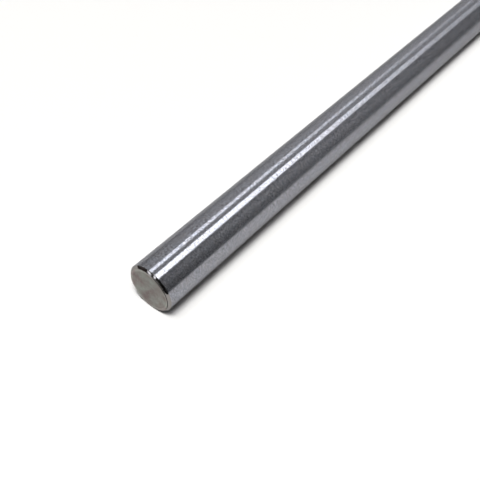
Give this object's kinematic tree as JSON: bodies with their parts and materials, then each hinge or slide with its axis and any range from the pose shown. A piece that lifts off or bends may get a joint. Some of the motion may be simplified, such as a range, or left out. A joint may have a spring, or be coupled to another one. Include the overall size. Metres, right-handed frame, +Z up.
{
  "type": "linear shaft",
  "caption": "Round steel linear shaft, ground and hard chromed, with chamfered square ends, for linear bearings and shaft supports.",
  "frame": {"origin": "centre of the near end face, on the shaft's axis; the floor it lies on is 6 mm below", "axes": "+X along the shaft's axis, from the near end face to the far one; +Z up with the shaft lying down"},
  "size_m": [0.3, 0.012, 0.012],
  "materials": {
    "hard_chromed_steel": "polished"
  },
  "bodies": {
    "root": {"linear_shaft": "hard_chromed_steel"}
  },
  "joints": []
}
